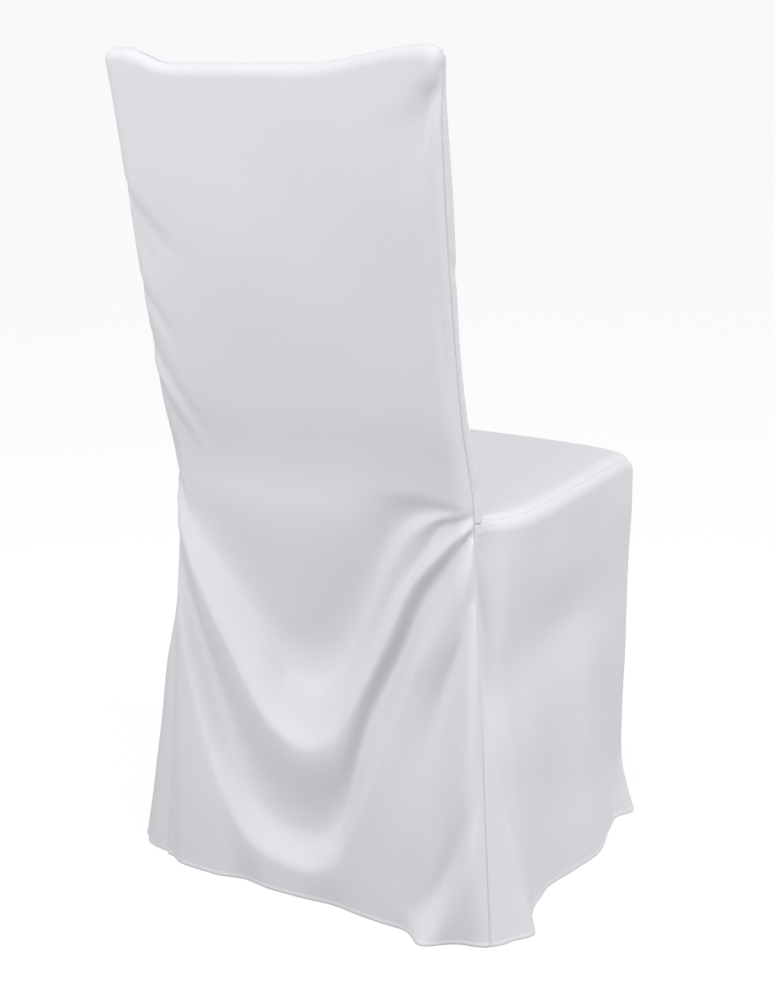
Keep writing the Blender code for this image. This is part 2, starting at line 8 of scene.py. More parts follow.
import bmesh
import bpy
import numpy as np
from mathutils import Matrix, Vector


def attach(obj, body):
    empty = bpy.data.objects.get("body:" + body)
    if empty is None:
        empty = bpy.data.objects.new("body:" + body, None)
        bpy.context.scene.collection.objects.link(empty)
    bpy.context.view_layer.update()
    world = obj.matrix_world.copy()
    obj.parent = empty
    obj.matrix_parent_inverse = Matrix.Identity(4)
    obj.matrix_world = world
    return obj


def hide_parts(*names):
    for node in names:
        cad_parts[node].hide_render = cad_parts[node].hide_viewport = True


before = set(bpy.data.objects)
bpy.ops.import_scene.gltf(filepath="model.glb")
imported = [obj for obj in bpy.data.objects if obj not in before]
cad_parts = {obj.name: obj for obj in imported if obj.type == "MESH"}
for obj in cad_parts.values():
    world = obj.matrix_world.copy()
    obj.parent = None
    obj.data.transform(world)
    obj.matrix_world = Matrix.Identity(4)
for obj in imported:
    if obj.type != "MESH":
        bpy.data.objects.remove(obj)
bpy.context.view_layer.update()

bl_info = {
    "name": "Fitted chair cover",
    "version": (1, 0, 0),
    "blender": (4, 5, 0),
    "location": "3D View > Sidebar > Chair cover",
    "description": "Makes a fitted chair cover from six sewn panels, with its stage",
    "category": "Add Mesh",
}

# The plan's own origin, the gaps at the seams, the heights of the main levels and the two ears
FOOT = (0.01030, 0.01909)
SEAM_GAP = 0.0003
SIDEWAYS_GAP = 0.00045
CREST_Z = 0.930
LEFT_EAR = {"rise": 0.015, "length": 0.065, "level": 0.15}
RIGHT_EAR = {"rise": 0.017, "length": 0.135, "level": 0.08}
WAIST_Z = 0.4685
JOIN_Z = 0.466
SHOULDER_Z = 0.4525
ROLL = 0.019
SEAT_Z = SHOULDER_Z + ROLL
ROLL_START = np.arccos((JOIN_Z - SHOULDER_Z) / ROLL)
ROLL_INSET = ROLL * (1 - np.sin(ROLL_START))

# The back: its half width, edge radius, face, sideways shift and seam angle, each at a few heights,
# then the same at the waist, where the seat meets the posts
BACK_Z = (0.0, 0.15, 0.30, WAIST_Z, 0.58, 0.70, 0.90, 0.945)
BACK_HALF_WIDTH = (0.227, 0.2135, 0.2025, 0.1915, 0.191, 0.192, 0.195, 0.198)
BACK_EDGE = (0.030, 0.027, 0.023, 0.020, 0.0185, 0.0175, 0.0155, 0.015)
BACK_FACE_Y = (0.209, 0.2015, 0.1945, 0.190, 0.2120, 0.236, 0.2757, 0.2846)
BACK_SHIFT = (-0.004, -0.001, 0.003, 0.008, 0.013, 0.014, 0.011, 0.010)
SEAM_ANGLE_Z = (0.0, 0.30, WAIST_Z, 0.87, 0.915)
SEAM_ANGLE = tuple(np.radians((45.0, 58.0, 68.0, 68.0, 90.0)))
CREST_EDGE = BACK_EDGE[-1]
WAIST_ROW = BACK_Z.index(WAIST_Z)
WAIST_HALF_WIDTH = BACK_HALF_WIDTH[WAIST_ROW]
WAIST_EDGE = BACK_EDGE[WAIST_ROW]
POST_Y = BACK_FACE_Y[WAIST_ROW] - WAIST_EDGE
POST_ANGLE = SEAM_ANGLE[SEAM_ANGLE_Z.index(WAIST_Z)]
SHIFT_REACH = 0.40
INSIDE_HOLLOW = {"depth": 0.005, "from side": 0.12, "from end": 0.10}

# The skirt: front corner, bulge of the seat's side and bow of its front, each at a few heights, then the
# length of the panels and the shares of it where their parts start and end
SKIRT_Z = (0.0, 0.10, 0.20, 0.33, SHOULDER_Z)
FRONT_HALF_WIDTH = (0.216, 0.207, 0.208, 0.2105, 0.2095)
FRONT_Y = (0.222, 0.216, 0.213, 0.211, 0.211)
SIDE_BULGE = (0.002, 0.003, 0.005, 0.010, 0.0245)
FRONT_BOW = (0.004, 0.002, 0.001, 0.003, 0.014)
BULGE_AT = (0.0, 0.03, 0.09, 0.19, 0.34, 0.50, 0.75, 1.0)
BULGE_SHARE = (0.0, 0.14, 0.72, 1.0, 0.92, 0.70, 0.34, 0.0)
FRONT_EDGE = 0.018
CORNER_DROOP = 0.010
DROOP_REACH = 0.070
SIDE_RUN = 0.43
FRONT_RUN = 0.22
INSET_START = 0.03
INSET_LENGTH = 0.09
REAR_ARC_END = 0.035
FRONT_ARC_START = 0.965
FRONT_ARC = 0.93
HORN_CLEAR = 0.05
HORN_TURN = 0.75

# Swag lines of the outside back, from the sitter's left seam to the right one. A station is a share of
# the half width, a height and a depth are in millimetres, and a depth under 0 is a valley.
STATIONS = (1.0, 0.80, 0.62, 0.44, 0.26, 0.08, -0.10, -0.30, -0.48, -0.64, -0.80, -1.0)
SWAG_HEIGHTS = {
    "waist ridge": (484, 479, 475, 472, 474, 478, 483, 489, 495, 497, 493, 484),
    "upper valley": (455, 406, 364, 311, 259, 253, 296, 372, 440, 467, 476, 481),
    "pleat ridge": (451, 392, 343, 288, 238, 229, 264, 338, 407, 449, 469, 479),
    "pleat valley": (447, 376, 320, 263, 216, 204, 228, 306, 378, 416, 461, 476),
    "middle ridge": (440, 360, 296, 237, 194, 178, 191, 264, 332, 393, 429, 470),
    "lower valley": (400, 268, 162, 104, 76, 72, 98, 226, 303, 371, 417, 461),
    "lower ridge": (350, 201, 111, 57, 36, 31, 45, 116, 216, 293, 350, 452),
    "hem": (0, 0, 0, 0, 0, 0, 0, 0, 0, 0, 0, 0),
}
SWAG_DEPTHS = {
    "waist ridge": (0, 1, 1, 1, 1, 1, 1, 1, 1, 1, 1, 0),
    "upper valley": (0, -7, -15, -23, -31, -34, -30, -19, -12, -8, -4, 0),
    "pleat ridge": (0, -3, -8, -13, -19, -22, -19, -12, -6, -2, 0, 0),
    "pleat valley": (0, 1, -1, -3, -7, -11, -10, -10, -11, -11, -8, 0),
    "middle ridge": (1, 6, 6, 6, 5, 4, 4, 4, 5, 5, 4, 1),
    "lower valley": (0, -8, -13, -16, -18, -19, -18, -16, -14, -12, -10, 0),
    "lower ridge": (0, 6, 6, 5, 4, 4, 4, 6, 7, 7, 7, 1),
    "hem": (0, 7, 8, -1, 4, 3, -1, 5, 8, 8, 0, 0),
}

# How far above the top line the swags fade out, and how far from a seam the folds do
SWAG_FADE = 0.06
SEAM_FADE = 0.014

# Single folds: name, start, middle and end as (across, height), height of the fold at the three, then its
# half width at the start and the end. Across is a share of the panel's width, the rest is in metres.
FOLD_STEPS = 25
BACK_FOLDS = (
    ("third pleat", (-0.97, 0.402), (-0.77, 0.31), (-0.5, 0.08), (-0.002, -0.01, -0.002), (0.009, 0.03)),
    ("corner flare", (-0.695, 0.0), (-0.86, 0.05), (-0.97, 0.16), (0.023, 0.011, 0.0), (0.024, 0.008)),
    ("flare root", (-0.57, 0.0), (-0.8, 0.055), (-0.93, 0.17), (-0.003, -0.006, 0.0), (0.016, 0.008)),
    ("left hem tuck", (0.93, 0.0), (0.92, 0.04), (0.91, 0.12), (-0.006, -0.003, 0.0), (0.012, 0.008)),
    ("top left pull", (1.0, 0.79), (0.9, 0.745), (0.78, 0.7), (-0.003, -0.003, 0.0), (0.009, 0.014)),
    ("middle left pull", (1.0, 0.67), (0.92, 0.63), (0.82, 0.59), (-0.003, -0.002, 0.0), (0.007, 0.012)),
    ("waist left pull", (1.0, 0.6), (0.88, 0.555), (0.76, 0.5), (-0.003, -0.003, 0.0), (0.008, 0.012)),
    ("top right pull", (-0.97, 0.9), (-0.86, 0.86), (-0.72, 0.8), (-0.004, -0.003, 0.0), (0.012, 0.018)),
)
RIGHT_FOLDS = (
    ("seam trough", (0.045, 0.43), (0.05, 0.33), (0.045, 0.24), (-0.004, -0.008, 0.0), (0.018, 0.012)),
    ("rear cone", (0.1, 0.0), (0.075, 0.1), (0.035, 0.24), (0.019, 0.009, 0.0), (0.022, 0.006)),
    ("middle hollow", (0.36, 0.0), (0.36, 0.12), (0.35, 0.28), (-0.007, -0.005, 0.0), (0.034, 0.03)),
    ("wide cone", (0.64, 0.0), (0.62, 0.14), (0.6, 0.3), (0.014, 0.007, 0.0), (0.055, 0.04)),
    ("front cone", (0.95, 0.0), (0.955, 0.03), (0.96, 0.07), (0.013, 0.006, 0.0), (0.022, 0.012)),
)
LEFT_FOLDS = (
    ("seam trough", (0.045, 0.43), (0.05, 0.33), (0.045, 0.24), (-0.004, -0.006, 0.0), (0.018, 0.012)),
    ("rear cone", (0.075, 0.0), (0.065, 0.2), (0.05, 0.43), (0.047, 0.028, 0.0), (0.03, 0.012)),
    ("middle hollow", (0.4, 0.0), (0.38, 0.12), (0.36, 0.3), (-0.008, -0.005, 0.0), (0.036, 0.03)),
    ("wide cone", (0.7, 0.0), (0.67, 0.14), (0.64, 0.32), (0.014, 0.007, 0.0), (0.05, 0.035)),
)
FRONT_FOLDS = (
    ("right corner cone", (-0.88, 0.0), (-0.9, 0.08), (-0.93, 0.2), (0.014, 0.006, 0.0), (0.024, 0.01)),
    ("right hollow", (-0.52, 0.0), (-0.5, 0.12), (-0.46, 0.28), (-0.009, -0.006, 0.0), (0.034, 0.028)),
    ("middle cone", (-0.1, 0.0), (-0.08, 0.14), (-0.04, 0.34), (0.018, 0.01, 0.0), (0.042, 0.026)),
    ("left hollow", (0.34, 0.0), (0.33, 0.12), (0.3, 0.3), (-0.01, -0.006, 0.0), (0.034, 0.028)),
    ("left cone", (0.66, 0.0), (0.66, 0.12), (0.64, 0.28), (0.014, 0.007, 0.0), (0.034, 0.02)),
)

# Grid lines across and along the panels
FLAT_LINES = 141
RIM_LINES = 11
BACK_ROWS = 215
HEM_ROWS = (0.0005, 0.0014, 0.0026, 0.0038, 0.0050, 0.0064, 0.0082)
CREST_ROWS = 8
INSIDE_FLAT_LINES = 101
INSIDE_RIM_LINES = 18
INSIDE_ROWS = 130
SIDE_COLUMNS = 115
SKIRT_ROWS = 110
FRONT_COLUMNS = 121
INSIDE_LOW_ROWS = (0.0, 0.002, 0.004, 0.007)
ARC_LINES = 8
ROLL_ROWS = 9
SEAT_SIDE_LINES = 90
SEAT_FRONT_LINES = 45
HORN_LINES = 14

# Sewing: how the cloth turns in at a seam, how far from it the creases and the wander fade, the width of the
# rolled hem, and the small gathers of a seam, whose waves are (length, start, share)
TURNING = 0.0028
SEAM_ROLL = 0.0026
CREASE_FADE = 0.004
WANDER_FADE = 0.05
EDGE_TURN = 0.004
EDGE_POWER = 4
HEM_WIDTH = 0.0050
PUCKER_REACH = 0.006
PUCKER_END = 3 * PUCKER_REACH
PUCKER_FADE = 0.02
PUCKER_SPACING = 0.117
PUCKER_WAVES = ((0.0171, 0.4, 0.6), (0.0113, 1.9, 0.4))

# Slow wander of each panel: waves as (length, heading, start, height)
BACK_WANDER = ((0.31, 1.1, 0.3, 0.0009), (0.19, 2.2, 1.7, 0.0006), (0.11, 0.5, 4.0, 0.0003))
INSIDE_WANDER = ((0.27, 0.9, 2.1, 0.0009), (0.16, 2.4, 0.6, 0.0006), (0.09, 0.2, 3.1, 0.0003))
SKIRT_WANDER = ((0.25, 0.3, 1.2, 0.0009), (0.15, 2.8, 3.7, 0.0006), (0.10, 1.3, 0.9, 0.0003))
SEAT_WANDER = ((0.29, 0.7, 0.5, 0.0006), (0.17, 2.0, 2.9, 0.0004), (0.10, 1.2, 1.8, 0.0002))

# Fine creases on the folds, in the same columns
BACK_CREASES = (
    ("upper left pull", (1.0, 0.805), (0.86, 0.765), (0.64, 0.715), (-0.003, -0.0034, 0.0), (0.006, 0.015)),
    ("lower left pull", (1.0, 0.705), (0.88, 0.67), (0.72, 0.612), (-0.0026, -0.0024, 0.0), (0.005, 0.011)),
    ("long left pull", (1.0, 0.64), (0.88, 0.598), (0.64, 0.51), (-0.0032, -0.0034, 0.0), (0.005, 0.013)),
    ("long left ridge", (1.0, 0.616), (0.86, 0.574), (0.66, 0.494), (0.0016, 0.0018, 0.0), (0.005, 0.011)),
    ("waist tuck", (1.0, 0.485), (0.93, 0.45), (0.84, 0.405), (-0.003, -0.0024, 0.0), (0.004, 0.008)),
    ("waist ridge", (1.0, 0.472), (0.95, 0.44), (0.88, 0.4), (0.0022, 0.0018, 0.0), (0.004, 0.007)),
    ("top right pull", (-1.0, 0.905), (-0.84, 0.88), (-0.55, 0.84), (-0.001, -0.0016, 0.0), (0.008, 0.018)),
    ("edge hollow", (-0.9, 0.9), (-0.93, 0.7), (-0.94, 0.5), (-0.0032, -0.0022, 0.0), (0.01, 0.006)),
    ("ear wrinkle", (-0.99, 0.925), (-0.95, 0.905), (-0.97, 0.87), (-0.002, -0.0016, 0.0), (0.004, 0.006)),
    ("ear ridge", (-0.93, 0.93), (-0.9, 0.908), (-0.92, 0.875), (0.0014, 0.001, 0.0), (0.004, 0.006)),
    ("middle hollow", (0.6, 0.35), (0.1, 0.185), (-0.45, 0.4), (-0.0015, -0.0062, -0.001), (0.036, 0.04)),
    ("short pleat", (-0.99, 0.474), (-0.86, 0.455), (-0.64, 0.408), (-0.003, -0.005, 0.0), (0.005, 0.012)),
    ("band ridge", (-0.76, 0.46), (-0.4, 0.37), (-0.12, 0.265), (0.0, 0.003, 0.0), (0.01, 0.018)),
    ("first ridge", (-0.98, 0.466), (-0.84, 0.44), (-0.63, 0.388), (0.003, 0.003, 0.0), (0.005, 0.01)),
    ("long pleat", (-0.97, 0.455), (-0.61, 0.36), (-0.226, 0.207), (-0.004, -0.0022, 0.0), (0.004, 0.01)),
    ("second ridge", (-0.98, 0.447), (-0.93, 0.358), (-0.6, 0.275), (0.003, 0.005, 0.0), (0.005, 0.014)),
    ("steep pleat", (-0.985, 0.395), (-0.86, 0.32), (-0.669, 0.22), (-0.0006, -0.0045, 0.0), (0.005, 0.011)),
    ("seam ridge", (-0.975, 0.37), (-0.96, 0.21), (-0.8, 0.08), (0.0015, 0.004, 0.0), (0.008, 0.014)),
    ("left ridge", (0.95, 0.445), (0.6, 0.285), (0.1, 0.18), (0.002, 0.004, 0.0), (0.008, 0.018)),
    ("left hollow", (0.93, 0.4), (0.74, 0.22), (0.38, 0.1), (-0.001, -0.003, 0.0), (0.008, 0.018)),
)
INSIDE_CREASES = (
    ("left pull", (1.0, 0.62), (0.8, 0.6), (0.6, 0.59), (-0.0015, -0.001, 0.0), (0.008, 0.014)),
    ("right pull", (-1.0, 0.74), (-0.82, 0.71), (-0.62, 0.7), (-0.0015, -0.001, 0.0), (0.008, 0.014)),
    ("seat pull", (-0.96, 0.5), (-0.8, 0.52), (-0.6, 0.56), (-0.0018, -0.0012, 0.0), (0.007, 0.014)),
)
RIGHT_CREASES = (
    ("root crease", (0.0, 0.44), (0.03, 0.4), (0.07, 0.32), (-0.001, -0.005, 0.0), (0.006, 0.014)),
    ("under the seat", (0.05, 0.29), (0.45, 0.3), (0.92, 0.32), (-0.006, -0.011, -0.003), (0.052, 0.052)),
    ("rear fall", (0.1, 0.36), (0.12, 0.22), (0.16, 0.02), (0.0, 0.003, 0.004), (0.008, 0.018)),
    ("rear dip", (0.17, 0.33), (0.21, 0.2), (0.25, 0.01), (0.0, -0.003, -0.004), (0.01, 0.02)),
    ("front fall", (0.86, 0.26), (0.87, 0.12), (0.88, 0.01), (0.0, -0.002, -0.004), (0.008, 0.016)),
)
LEFT_CREASES = (
    ("root crease", (0.0, 0.44), (0.03, 0.4), (0.06, 0.32), (-0.001, -0.003, 0.0), (0.006, 0.012)),
    ("rear dip", (0.17, 0.35), (0.19, 0.2), (0.22, 0.01), (0.0, -0.003, -0.0045), (0.01, 0.02)),
    ("middle fall", (0.52, 0.3), (0.53, 0.15), (0.55, 0.01), (0.0, 0.0025, 0.004), (0.01, 0.022)),
)
FRONT_CREASES = (
    ("corner crease", (-0.97, 0.44), (-0.92, 0.4), (-0.86, 0.33), (-0.0015, -0.002, 0.0), (0.006, 0.01)),
    ("left corner crease", (0.97, 0.44), (0.93, 0.39), (0.88, 0.31), (-0.0015, -0.002, 0.0), (0.006, 0.01)),
    ("front fall", (0.04, 0.3), (0.06, 0.15), (0.08, 0.01), (0.0, -0.0025, -0.004), (0.01, 0.02)),
)

# Finishes: the noises of the cloth and of the floor, and how much each of them counts
SLUB = {"Scale": 900.0, "Detail": 2.0, "Roughness": 0.6}
CLOUD = {"Scale": 9.0, "Detail": 3.0, "Roughness": 0.55}
FLOOR_CLOUD = {"Scale": 3.0, "Detail": 2.0}
WEAVE_SHARE = 0.6
WEAVE_BUMP = 0.35
CLOUD_ROUGHNESS = 0.10
SHEEN_ROUGHNESS = 0.45
CLOTH_SPECULAR = 0.25
FLOOR_ROUGHNESS = 0.8
FLOOR_CLOUD_ROUGHNESS = 0.05

# Stage: each light has a name, a place, a size and its own power. The room's light changes over a height of
# ROOM_BLEND on both sides of the horizon. The floor is flat near the cover and rises far away to close the
# background.
SENSOR = 36.0
LIGHT_AIM = (0.0, 0.0, 0.5)
WHITE = (1.0, 1.0, 1.0, 1.0)
LIGHTS = (
    ("back_light", (0.15, 1.6, 1.15), 1.2, "back_power"),
    ("right_light", (-2.8191, 0.0, 1.5261), 1.5, "right_power"),
    ("top_light", (0.0, 0.0, 3.2), 1.5, "top_power"),
)
ROOM_BLEND = 0.5
FLOOR_LINES = 60
FLOOR_FLAT = 4.0
FLOOR_RISE = 0.05

# The least length that a division may meet
TINY = 1e-12


def curve(knots, values, at):
    """Read a smooth curve through the values, with no overshoot between them."""
    knots = np.asarray(knots, float)
    values = np.asarray(values, float)
    step = np.diff(knots)
    slope = np.diff(values) / step
    tangent = np.zeros(len(knots))
    tangent[0] = slope[0]
    tangent[-1] = slope[-1]
    for i in range(1, len(knots) - 1):
        if slope[i - 1] * slope[i] > 0:
            near = 2 * step[i] + step[i - 1]
            far = step[i] + 2 * step[i - 1]
            tangent[i] = (near + far) / (near / slope[i - 1] + far / slope[i])
    at = np.asarray(at, float)
    i = np.clip(np.searchsorted(knots, at, side="right") - 1, 0, len(step) - 1)
    t = np.clip((at - knots[i]) / step[i], 0.0, 1.0)
    start = values[i] * (1 + 2 * t) * (1 - t) ** 2 + values[i + 1] * t * t * (3 - 2 * t)
    return start + step[i] * (tangent[i] * t * (1 - t) ** 2 - tangent[i + 1] * t * t * (1 - t))


def ease(t):
    """Go softly from 0 to 1."""
    t = np.clip(t, 0.0, 1.0)
    return t * t * (3 - 2 * t)


def crest_height(across):
    """Height of the top edge: level in the middle, rising to an ear over each post."""
    inward = (1 - np.abs(across)) * BACK_HALF_WIDTH[-1]
    left, right = (ear["rise"] * ease(1 + ear["level"] - inward / ear["length"])
                   for ear in (LEFT_EAR, RIGHT_EAR))
    return CREST_Z + np.where(across > 0, left, right)


def shifted(x, y, z):
    """Move the back part sideways, as the cloth has pulled towards the sitter's left."""
    share = np.clip((y + FRONT_Y[0]) / SHIFT_REACH, 0.0, 1.0)
    return x + curve(BACK_Z, BACK_SHIFT, z) * share


def fold_rise(folds, across, run, z):
    """Add up the single folds at a point, given by its share across and its length along the panel."""
    rise = np.zeros_like(z)
    for _, start, middle, end, heights, widths in folds:
        steps = np.linspace(0.0, 1.0, FOLD_STEPS)
        early = (1 - steps) ** 2
        late = steps ** 2
        between = 1 - early - late
        line_u = early * start[0] + between * middle[0] + late * end[0]
        line_z = early * start[1] + between * middle[1] + late * end[1]
        nearest = np.full_like(z, np.inf)
        place = np.zeros_like(z)
        for i in range(FOLD_STEPS - 1):
            step_u = (line_u[i + 1] - line_u[i]) * run
            step_z = line_z[i + 1] - line_z[i]
            from_u = (across - line_u[i]) * run
            from_z = z - line_z[i]
            share = np.clip((from_u * step_u + from_z * step_z) / (step_u ** 2 + step_z ** 2), 0.0, 1.0)
            distance = np.hypot(from_u - share * step_u, from_z - share * step_z)
            place = np.where(distance < nearest, (i + share) / (FOLD_STEPS - 1), place)
            nearest = np.minimum(nearest, distance)
        height = curve((0.0, 0.5, 1.0), heights, place)
        width = widths[0] + (widths[1] - widths[0]) * place
        rise += height * np.exp(-(nearest / width) ** 2)
    return rise


def swag_depth(place, z):
    """Depth of the swags at each point of the back, column by column."""
    order = np.argsort(STATIONS)
    stations = np.asarray(STATIONS)[order]
    heights = [curve(stations, np.asarray(row)[order], place[0]) for row in SWAG_HEIGHTS.values()]
    depths = [curve(stations, np.asarray(row)[order], place[0]) for row in SWAG_DEPTHS.values()]
    heights = np.array(heights)[::-1] / 1000
    depths = np.array(depths)[::-1] / 1000
    depth = np.zeros_like(z)
    for column in range(z.shape[1]):
        knots = np.append(heights[:, column], (heights[-1, column] + SWAG_FADE, 1.0))
        values = np.append(depths[:, column], (0.0, 0.0))
        depth[:, column] = curve(knots, values, z[:, column])
    return depth


def unevenness(across, up, waves):
    """Slow wander of a hand-hung cloth: a few crossing waves, given as (length, heading, start, height)."""
    rise = np.zeros_like(across)
    for length, heading, start, height in waves:
        along = across * np.cos(heading) + up * np.sin(heading)
        rise += height * np.sin(2 * np.pi * along / length + start)
    return rise


def puckers(along, from_seam, size):
    """Small gathers that a sewing thread draws in along a seam, dying out away from it."""
    drawn = sum(share * np.sin(2 * np.pi * along / length + start) for length, start, share in PUCKER_WAVES)
    loose = 0.5 + 0.5 * np.sin(2 * np.pi * along / PUCKER_SPACING)
    return size * drawn * loose * np.exp(-np.abs(from_seam) / PUCKER_REACH)


def seam_dip(from_seam, size):
    """Roll the cloth's edge down into a seam."""
    return -size * (1 - ease(from_seam / SEAM_ROLL))


def hem_bead(z, size):
    """The small round ridge of a rolled hem, seen along the cloth's lower edge."""
    away = np.clip(np.abs(z - HEM_WIDTH / 2) / (HEM_WIDTH / 2), 0.0, 1.0)
    return size * np.sqrt(1 - away ** 2)


def turned_in(points, inward, sides):
    """Add one more line of points on the given sides of a grid, turned in behind the seam."""
    left, right, low, high = (side in sides for side in ("left", "right", "low", "high"))
    pad = ((int(low), int(high)), (int(left), int(right)), (0, 0))
    points = np.pad(points, pad, mode="edge")
    inward = np.pad(inward, pad, mode="edge")
    depth = np.zeros(points.shape[:2] + (1,))
    for given, line in ((left, np.s_[:, 0]), (right, np.s_[:, -1]), (low, np.s_[0]), (high, np.s_[-1])):
        if given:
            depth[line] = TURNING
    return points + inward * depth


def grid_normals(points):
    """Unit normals of a grid of points, by its two directions."""
    along = np.gradient(points, axis=0)
    across = np.gradient(points, axis=1)
    normal = np.cross(across, along)
    return normal / np.maximum(np.linalg.norm(normal, axis=-1, keepdims=True), TINY)


def rim_point(across, rim, crest, rear):
    """Place points on the pillow-shaped upper part.

    across is the share of the flat part, rim the share of the side edge's arc, and crest the share of the
    top edge's arc. rear is 1 for the outside back and -1 for the inside back.
    """
    edge = curve(BACK_Z, BACK_EDGE, crest["z"])
    seam = curve(SEAM_ANGLE_Z, SEAM_ANGLE, crest["z"])
    if rear < 0:
        seam = np.pi - seam
    share = crest["share"]
    reach = np.maximum(np.abs(rim), share)
    turn = np.where(share > 0, np.pi / 2, seam)
    angle = reach * (turn - SEAM_GAP / 2 / edge)
    heading = np.arctan2(share, np.abs(rim) + TINY)
    heading = np.where((share == 0) | (reach == 0), 0.0, heading)
    flat = curve(BACK_Z, BACK_HALF_WIDTH, crest["z"]) - edge
    side = np.sign(rim) * edge * np.sin(angle) * np.cos(heading)
    x = across * flat + side
    z = crest["z"] + edge * np.sin(angle) * np.sin(heading)
    middle_y = curve(BACK_Z, BACK_FACE_Y, z) - edge
    normal = np.stack([np.sign(rim) * np.sin(angle) * np.cos(heading), rear * np.cos(angle),
                       np.sin(angle) * np.sin(heading)], axis=-1)
    y = middle_y + edge * normal[..., 1]
    run = flat + edge * (turn - SEAM_GAP / 2 / edge)
    along = (np.abs(across) * flat + edge * angle * (np.abs(rim) > 0)) / run
    place = np.where(rim == 0, across * flat / run, np.sign(rim) * along)
    return x, y, z, normal, place, run


def back_grid(flat_lines, rim_lines, rows, low, rear):
    """Points, normals, place across, run and crest share of one back panel, bottom row first."""
    flat = np.linspace(1.0, -1.0, flat_lines)
    arc = np.linspace(0.0, 1.0, rim_lines)[1:]
    across = np.concatenate([np.ones(len(arc)), flat, -np.ones(len(arc))])
    rim = np.concatenate([arc[::-1], np.zeros(flat_lines), -arc])
    top = crest_height(across) - CREST_EDGE
    climb = np.linspace(0.0, 1.0, rows + 1)[1:, None]
    start = np.array(low)[:, None] * np.ones_like(across)
    rise = low[-1] + (top - low[-1]) * climb
    share = np.linspace(0.0, 1.0, CREST_ROWS + 1)[1:, None]
    heights = np.vstack([start, rise, top * np.ones_like(share)])
    shares = np.vstack([np.zeros((len(low) + rows, 1)), share]) * np.ones_like(heights)
    one = np.ones((len(heights), 1))
    return rim_point(one * across, one * rim, {"z": heights, "share": shares}, rear) + (shares,)


def edge_distances(place, run, z, share):
    """Distance of each point of a back panel from its side seams and from the seam along the crest."""
    from_seam = (1 - np.abs(place)) * run
    from_crest = (1 - share) * CREST_EDGE * np.pi / 2 + np.maximum(0, crest_height(place) - CREST_EDGE - z)
    return from_seam, from_crest


def back_sheet(x, y, z, normal, depth, place, run, share):
    """Finish a back panel: its points moved out by the depth, the way inward, its seams and its flat cut."""
    points = np.stack([shifted(x, y, z), y, z], axis=-1) + normal * depth[..., None]
    cut = np.stack([place * run, z + share * CREST_EDGE], axis=-1)
    return points, -normal, ("left", "right", "high"), cut


def outside_back(look):
    """Outside back: crest to floor, with the swags, the pleats at its right seam and all its small pulls."""
    x, y, z, normal, place, run, share = back_grid(FLAT_LINES, RIM_LINES, BACK_ROWS, HEM_ROWS, 1)
    from_seam, from_crest = edge_distances(place, run, z, share)
    depth = (swag_depth(place, z) + fold_rise(BACK_FOLDS, place, run, z)) * ease(from_seam / SEAM_FADE)
    depth += fold_rise(BACK_CREASES, place, run, z) * ease(from_seam / CREASE_FADE)
    depth += unevenness(place * run, z, BACK_WANDER) * look.unevenness * ease(from_seam / SEAM_FADE)
    depth += puckers(z + place, from_seam, look.pucker) + puckers(place * run, from_crest, look.pucker)
    depth += seam_dip(from_seam, look.seam_depth) + seam_dip(from_crest, look.seam_depth) * ease(share * 2)
    depth += hem_bead(z, look.hem_height)
    return back_sheet(x, y, z, normal, depth, place, run, share)


def inside_back(look):
    """Inside back: crest to seat, wrapped round both posts to the side seams."""
    bottom = JOIN_Z + SEAM_GAP / 2
    low = [bottom + step for step in INSIDE_LOW_ROWS]
    x, y, z, normal, place, run, share = back_grid(INSIDE_FLAT_LINES, INSIDE_RIM_LINES, INSIDE_ROWS, low, -1)
    from_seam, from_crest = edge_distances(place, run, z, share)
    inner = ease(from_seam / INSIDE_HOLLOW["from side"])
    ends = ease((z - bottom) / INSIDE_HOLLOW["from end"]) * ease((CREST_Z - z) / INSIDE_HOLLOW["from end"])
    y = y + INSIDE_HOLLOW["depth"] * inner * ends
    depth = fold_rise(INSIDE_CREASES, place, run, z) * ease(from_seam / CREASE_FADE)
    depth += unevenness(place * run, z, INSIDE_WANDER) * look.unevenness * ease(from_seam / SEAM_FADE)
    depth += puckers(z, from_seam, look.pucker) + puckers(place * run, z - bottom, look.pucker)
    depth += seam_dip(from_seam, look.seam_depth) + seam_dip(from_crest, look.seam_depth) * ease(share * 2)
    return back_sheet(x, y, z, normal, depth, place, run, share)


